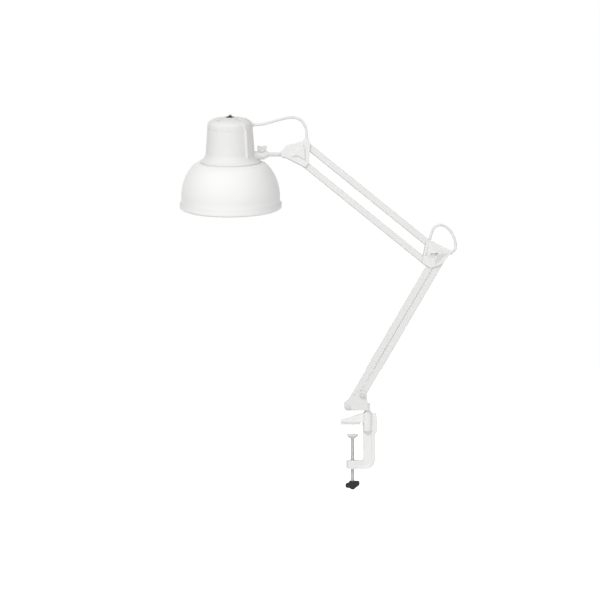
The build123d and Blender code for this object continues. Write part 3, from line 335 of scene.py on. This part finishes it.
finishes = {
    "shade_paint": make_skin(
        "shade_enamel", grey(0.91, 0.01), grey(0.89, 0.014),
        patch=9, grain=300, peel=0.006, gloss=(0.26, 0.34), coat=0.02, specular=0.08),
    "arm_paint": make_skin(
        "arm_paint", grey(0.79, 0.01), grey(0.775, 0.015),
        patch=30, grain=700, peel=0.006, gloss=(0.42, 0.52), specular=0.08),
    # Painted light: the clamp's white paint is set lighter than the arm paint to make up for the weaker light
    # that reaches the clamp
    "casting_paint": make_skin(
        "casting_paint", grey(0.855, 0.012), grey(0.84, 0.016),
        patch=45, grain=420, peel=0.02, gloss=(0.42, 0.55), specular=0.08),
    "cap_plastic": make_skin(
        "cap_plastic", grey(0.83, 0.012), grey(0.81, 0.016),
        patch=25, grain=900, peel=0.005, gloss=(0.34, 0.42), specular=0.1),
    "cover_plastic": make_skin(
        "cover_plastic", grey(0.805, 0.01), grey(0.793, 0.015),
        patch=40, grain=900, peel=0.006, gloss=(0.40, 0.50), specular=0.08),
    "nylon": make_skin(
        "nylon", grey(0.82, 0.02), grey(0.78, 0.03),
        patch=60, grain=900, peel=0.006, gloss=(0.45, 0.55), specular=0.08),
    "black_plastic": make_skin(
        "black_plastic", grey(0.02, 0.1), grey(0.028, 0.1),
        patch=90, grain=1000, peel=0.008, gloss=(0.32, 0.44), specular=0.22),
    "bolt_steel": make_skin(
        "bolt_zinc", grey(0.56), grey(0.47),
        patch=260, grain=900, peel=0.006, gloss=(0.32, 0.46), metallic=1.0),
    "screw_steel": make_skin(
        "screw_steel", grey(0.54, 0.012), grey(0.45, 0.016),
        patch=200, grain=900, peel=0.006, gloss=(0.30, 0.45), metallic=1.0),
    "cable_sheath": make_skin(
        "cable_sheath", grey(0.82, 0.01), grey(0.79, 0.015),
        patch=60, grain=800, peel=0.004, gloss=(0.36, 0.46), specular=0.1),
    "holder_plastic": make_skin(
        "holder_plastic", grey(0.78, 0.04), grey(0.74, 0.05),
        patch=50, grain=900, peel=0.006, gloss=(0.42, 0.52)),
    "brass": make_skin(
        "brass", (0.62, 0.44, 0.16, 1), (0.52, 0.36, 0.13, 1),
        patch=120, grain=900, peel=0.005, gloss=(0.28, 0.42), metallic=1.0),
    "lead_sheath": make_skin(
        "lead_sheath", (0.30, 0.16, 0.08, 1), (0.26, 0.14, 0.07, 1),
        patch=90, grain=900, peel=0.004, gloss=(0.4, 0.5)),
    "bulb_metal": make_skin(
        "bulb_metal", grey(0.66), grey(0.56),
        patch=150, grain=900, peel=0.005, gloss=(0.26, 0.38), metallic=1.0),
    "bulb_glass": make_skin(
        "bulb_opal", grey(0.86, 0.02), grey(0.84, 0.02),
        patch=30, grain=700, peel=0.002, gloss=(0.12, 0.18), coat=0.3),
}


def paint(mesh, slot):
    mesh.materials.clear()
    mesh.materials.append(finishes[slot])


for node_name, node in nodes.items():
    paint(node.data, slot_of[node_name])


# Rounded copies of the solids

# The loose triangles of a node joined into whole faces
def merged_copy(name):
    shape = bmesh.new()
    shape.from_mesh(nodes[name].data)
    bmesh.ops.remove_doubles(shape, verts=shape.verts, dist=merge_gap)
    bmesh.ops.dissolve_limit(shape, angle_limit=flat_angle, verts=shape.verts, edges=shape.edges)
    for face in shape.faces:
        face.smooth = True
    mesh = bpy.data.meshes.new(name + "_merged")
    shape.to_mesh(mesh)
    shape.free()
    return mesh


def round_edges(mesh, radius):
    made = link(bpy.data.objects.new(mesh.name, mesh))
    bevel = made.modifiers.new("edges", "BEVEL")
    bevel.width = radius
    bevel.segments = edge_segments
    bevel.limit_method = "ANGLE"
    bevel.angle_limit = edge_angle
    rounded = bake_mesh(made, mesh.name)
    bpy.data.objects.remove(made)
    return rounded


# A step cut into the edge of each seam, so that a shadow line shows where two pieces meet
def cut_seams(mesh, rings):
    across = [vertex.co.x for vertex in nodes["shade"].data.vertices]
    origin = Vector(((min(across) + max(across)) / 2, 0, joint_place["head_roll"].z))
    axis = Vector((0, -math.sin(head_lean), math.cos(head_lean)))

    def on_ring(vertex, height, radius):
        arm = vertex.co - origin
        along = arm.dot(axis)
        out = (arm - axis * along).length
        return max(abs(along - height * mm), abs(out - radius * mm)) < seam_slack * mm

    shape = bmesh.new()
    shape.from_mesh(mesh)
    for height, radius, width in rings:
        ring = {vertex for vertex in shape.verts if on_ring(vertex, height, radius)}
        edges = [edge for edge in shape.edges if ring.issuperset(edge.verts)]
        bmesh.ops.bevel(
            shape, geom=edges, offset=width * mm, segments=seam_steps, profile=0.0, affect="EDGES")
    shape.to_mesh(mesh)
    shape.free()


# The outer face of a cover swells towards the brow of the pocket, and the floor lies deep under it
def sink_pocket(mesh):
    pivot = joint_place["upper_arm"]
    left, right, foot = [Vector((pivot.x + x * mm, pivot.z + z * mm)) for x, z in pocket_corners]
    across = right - left
    down = foot - left
    area = across.x * down.y - across.y * down.x
    for vertex in mesh.vertices:
        if abs(vertex.co.y) < cover_skin * mm:
            continue
        arm = Vector((vertex.co.x, vertex.co.z)) - left
        along = (arm.x * down.y - arm.y * down.x) / area
        drop = (across.x * arm.y - across.y * arm.x) / area
        share = min(max(arm.dot(across) / across.length_squared, 0), 1)
        reach = (arm - across * share).length / (pocket_swell * mm)
        height = abs(vertex.co.y)
        if min(along, drop, 1 - along - drop) > 0:
            height = (cover_face - pocket_depth) * mm
        elif reach < 1:
            height = max(height, (cover_face + pocket_brow * (1 - reach)) * mm)
        vertex.co.y = math.copysign(height, vertex.co.y)


# A mesh made anew from small voxels and smoothed, so that all its edges and hollows are soft
def soften_cast(mesh, voxel, steps, pocket):
    made = link(bpy.data.objects.new(mesh.name, mesh))
    skin = made.modifiers.new("skin", "REMESH")
    skin.mode = "VOXEL"
    skin.voxel_size = voxel
    skin.use_smooth_shade = True
    made.data = bake_mesh(made, mesh.name)
    made.modifiers.clear()
    if pocket:
        sink_pocket(made.data)
    soft = made.modifiers.new("soft", "SMOOTH")
    soft.factor = smooth_share
    soft.iterations = steps
    softened = bake_mesh(made, mesh.name)
    bpy.data.objects.remove(made)
    return softened


# Smooth across small angles, flat on large faces
def even_normals(mesh, name):
    mesh.set_sharp_from_angle(angle=smooth_angle)
    made = link(bpy.data.objects.new(name, mesh))
    even = made.modifiers.new("normals", "WEIGHTED_NORMAL")
    even.keep_sharp = True
    made.data = bake_mesh(made, name)
    made.modifiers.clear()
    return made


def dress_node(name, mesh):
    piece = even_normals(mesh, name + "_skin")
    paint(piece.data, slot_of[name])
    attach(piece, nodes[name]["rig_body"])
    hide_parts(name)


for node_name, radius in edge_radius.items():
    plain = merged_copy(node_name)
    if node_name in seams:
        cut_seams(plain, seams[node_name])
    dress_node(node_name, round_edges(plain, radius * mm) if radius > 0 else plain)
for node_name, (voxel, steps) in soft_cast.items():
    pocket = node_name.startswith("elbow_cover")
    dress_node(node_name, soften_cast(merged_copy(node_name), voxel * mm, steps, pocket))


# Clamp screw thread

# Geometry nodes: a ridge wound on a core, from the foot of the screw upwards
def make_thread_tree(material):
    tree = bpy.data.node_groups.new("screw_thread", "GeometryNodeTree")
    sizes = {}
    for label, kind in (
            ("Foot", "NodeSocketVector"), ("Length", "NodeSocketFloat"), ("Crest Radius", "NodeSocketFloat"),
            ("Pitch", "NodeSocketFloat"), ("Depth", "NodeSocketFloat")):
        sizes[label] = tree.interface.new_socket(label, in_out="INPUT", socket_type=kind).identifier
    tree.interface.new_socket("Geometry", in_out="OUTPUT", socket_type="NodeSocketGeometry")
    new = tree.nodes.new
    wire = tree.links.new
    inlet = new("NodeGroupInput")
    outlet = new("NodeGroupOutput")

    def reckon(operation, first, second):
        sum_node = new("ShaderNodeMath")
        sum_node.operation = operation
        for socket, value in zip(sum_node.inputs, (first, second)):
            if isinstance(value, float):
                socket.default_value = value
            else:
                wire(value, socket)
        return sum_node.outputs["Value"]

    length = inlet.outputs["Length"]
    turns = reckon("DIVIDE", length, inlet.outputs["Pitch"])
    middle = reckon("SUBTRACT", inlet.outputs["Crest Radius"], inlet.outputs["Depth"])
    spiral = new("GeometryNodeCurveSpiral")
    spiral.inputs["Resolution"].default_value = thread_turn_steps
    wire(turns, spiral.inputs["Rotations"])
    wire(middle, spiral.inputs["Start Radius"])
    wire(middle, spiral.inputs["End Radius"])
    wire(length, spiral.inputs["Height"])
    upright = new("GeometryNodeSetCurveNormal")
    upright.mode = "Z_UP"
    wire(spiral.outputs["Curve"], upright.inputs["Curve"])
    ridge = new("GeometryNodeCurvePrimitiveCircle")
    ridge.inputs["Resolution"].default_value = thread_ridge_sides
    wire(inlet.outputs["Depth"], ridge.inputs["Radius"])
    wound = new("GeometryNodeCurveToMesh")
    wound.inputs["Fill Caps"].default_value = True
    wire(upright.outputs["Curve"], wound.inputs["Curve"])
    wire(ridge.outputs["Curve"], wound.inputs["Profile Curve"])
    core = new("GeometryNodeMeshCylinder")
    core.inputs["Vertices"].default_value = thread_core_sides
    wire(middle, core.inputs["Radius"])
    wire(length, core.inputs["Depth"])
    half_up = new("ShaderNodeCombineXYZ")
    wire(reckon("MULTIPLY", length, 0.5), half_up.inputs["Z"])
    raise_core = new("GeometryNodeTransform")
    wire(core.outputs["Mesh"], raise_core.inputs["Geometry"])
    wire(half_up.outputs["Vector"], raise_core.inputs["Translation"])
    join = new("GeometryNodeJoinGeometry")
    wire(wound.outputs["Mesh"], join.inputs["Geometry"])
    wire(raise_core.outputs["Geometry"], join.inputs["Geometry"])
    settle = new("GeometryNodeTransform")
    wire(join.outputs["Geometry"], settle.inputs["Geometry"])
    wire(inlet.outputs["Foot"], settle.inputs["Translation"])
    realize = new("GeometryNodeRealizeInstances")
    wire(settle.outputs["Geometry"], realize.inputs["Geometry"])
    paint = new("GeometryNodeSetMaterial")
    paint.inputs["Material"].default_value = material
    wire(realize.outputs["Geometry"], paint.inputs["Geometry"])
    wire(paint.outputs["Geometry"], outlet.inputs["Geometry"])
    return tree, sizes


def make_thread():
    low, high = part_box("clamp_screw")
    made = link(bpy.data.objects.new("clamp_screw_thread", bpy.data.meshes.new("clamp_screw_thread")))
    tree, sizes = make_thread_tree(finishes["screw_steel"])
    winding = made.modifiers.new("thread", "NODES")
    winding.node_group = tree
    winding[sizes["Foot"]] = ((low.x + high.x) / 2, (low.y + high.y) / 2, low.z)
    winding[sizes["Length"]] = high.z - low.z
    winding[sizes["Crest Radius"]] = (high.x - low.x) / 2
    winding[sizes["Pitch"]] = thread_pitch
    winding[sizes["Depth"]] = thread_depth
    made.data = bake_mesh(made, "clamp_screw_thread")
    made.modifiers.clear()
    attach(made, "screw")
    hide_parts("clamp_screw")


make_thread()


# Cables

# A NURBS curve through a route; with no bevel it gives the cable's centreline
def route_curve(name, route, pivot, bevel):
    data = bpy.data.curves.new(name, "CURVE")
    data.dimensions = "3D"
    data.resolution_u = spline_steps
    data.bevel_depth = bevel
    data.bevel_resolution = cable_sides
    data.use_fill_caps = True
    spline = data.splines.new("NURBS")
    spline.points.add(len(route) - 1)
    for point, offset in zip(spline.points, route):
        point.co = (*(pivot + Vector(offset) * mm), 1)
    spline.order_u = spline_order
    spline.use_endpoint_u = True
    return link(bpy.data.objects.new(name, data))


def make_cable(name, route, pivot):
    centre = route_curve(name + "_line", route, pivot, 0.0)
    path = [vertex.co.copy() for vertex in bake_mesh(centre, name + "_path").vertices]
    skin = route_curve(name + "_skin", route, pivot, cable_diameter / 2)
    cable = link(bpy.data.objects.new(name, bake_mesh(skin, name)))
    bpy.data.objects.remove(centre)
    bpy.data.objects.remove(skin)
    paint(cable.data, "cable_sheath")
    for face in cable.data.polygons:
        face.use_smooth = True
    return cable, path


head_cable, head_path = make_cable("head_loop", head_route, joint_place["yoke_level"])
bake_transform(head_cable)
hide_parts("head_cable")

elbow_cable, elbow_path = make_cable("elbow_loop", elbow_route, joint_place["upper_arm"])
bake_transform(elbow_cable)
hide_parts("elbow_cable")


# Stage, light and camera

# The rays that meet a white room: those of the camera, of gloss and of glass
def white_rays(tree):
    rays = tree.nodes.new("ShaderNodeLightPath")
    seen = rays.outputs["Is Camera Ray"]
    for ray in ("Is Glossy Ray", "Is Transmission Ray"):
        either = tree.nodes.new("ShaderNodeMath")
        either.operation = "MAXIMUM"
        tree.links.new(seen, either.inputs[0])
        tree.links.new(rays.outputs[ray], either.inputs[1])
        seen = either.outputs["Value"]
    return seen


# The floor glows for those rays alone, more so away from the lamp, so that it meets the room without a line
def make_floor():
    data = bpy.data.meshes.new("floor")
    half = floor_size / 2
    level = cad_low.z - floor_drop
    corners = [(-half, -half, level), (half, -half, level), (half, half, level), (-half, half, level)]
    data.from_pydata(corners, [], [(0, 1, 2, 3)])
    floor = link(bpy.data.objects.new("floor", data))
    material = bpy.data.materials.new("floor_white")
    material.use_nodes = True
    tree = material.node_tree
    shader = tree.nodes["Principled BSDF"]
    shader.inputs["Base Color"].default_value = grey(floor_tone)
    shader.inputs["Roughness"].default_value = floor_roughness
    shader.inputs["Emission Color"].default_value = grey(1.0)
    place = tree.nodes.new("ShaderNodeTexCoord")
    reach = tree.nodes.new("ShaderNodeVectorMath")
    reach.operation = "DISTANCE"
    reach.inputs[1].default_value = (view_centre.x, 0.0, level)
    fade = tree.nodes.new("ShaderNodeMapRange")
    fade.inputs["From Min"].default_value = floor_near
    fade.inputs["From Max"].default_value = floor_far
    fade.inputs["To Min"].default_value = floor_lift_near
    fade.inputs["To Max"].default_value = floor_lift_far
    lift = tree.nodes.new("ShaderNodeMath")
    lift.operation = "MULTIPLY"
    tree.links.new(place.outputs["Object"], reach.inputs[0])
    tree.links.new(reach.outputs["Value"], fade.inputs["Value"])
    tree.links.new(fade.outputs["Result"], lift.inputs[0])
    tree.links.new(white_rays(tree), lift.inputs[1])
    tree.links.new(lift.outputs["Value"], shader.inputs["Emission Strength"])
    data.materials.append(material)


# White for the eye, for gloss and through glass; a low even light on everything else
def make_world():
    world = bpy.data.worlds.new("studio")
    bpy.context.scene.world = world
    world.use_nodes = True
    tree = world.node_tree
    output = tree.nodes["World Output"]
    ambient = tree.nodes["Background"]
    ambient.inputs["Color"].default_value = grey(1.0)
    ambient.inputs["Strength"].default_value = room_light
    backdrop = tree.nodes.new("ShaderNodeBackground")
    backdrop.inputs["Color"].default_value = grey(1.0)
    backdrop.inputs["Strength"].default_value = 1.0
    mix = tree.nodes.new("ShaderNodeMixShader")
    tree.links.new(white_rays(tree), mix.inputs["Fac"])
    tree.links.new(ambient.outputs["Background"], mix.inputs[1])
    tree.links.new(backdrop.outputs["Background"], mix.inputs[2])
    tree.links.new(mix.outputs["Shader"], output.inputs["Surface"])


def make_softbox(name, place, size, power):
    data = bpy.data.lights.new(name, "AREA")
    data.shape = "RECTANGLE"
    data.size = size[0]
    data.size_y = size[1]
    data.energy = power
    box = link(bpy.data.objects.new(name, data))
    box.location = place
    box.rotation_euler = (view_centre - Vector(place)).to_track_quat("-Z", "Y").to_euler()


def make_camera():
    data = bpy.data.cameras.new("photo_camera")
    data.sensor_width = sensor_mm
    data.lens = sensor_mm * camera_distance / (image_pixels * metres_per_pixel)
    camera = link(bpy.data.objects.new("photo_camera", data))
    camera.location = view_centre - Vector((0, camera_distance, 0))
    camera.rotation_euler = (math.pi / 2, 0, 0)
    bpy.context.scene.camera = camera


make_floor()
make_world()
make_softbox("key", key_place, key_size, key_power)
make_softbox("fill", fill_place, fill_size, fill_power)
make_camera()
bpy.context.scene.view_settings.view_transform = "Standard"
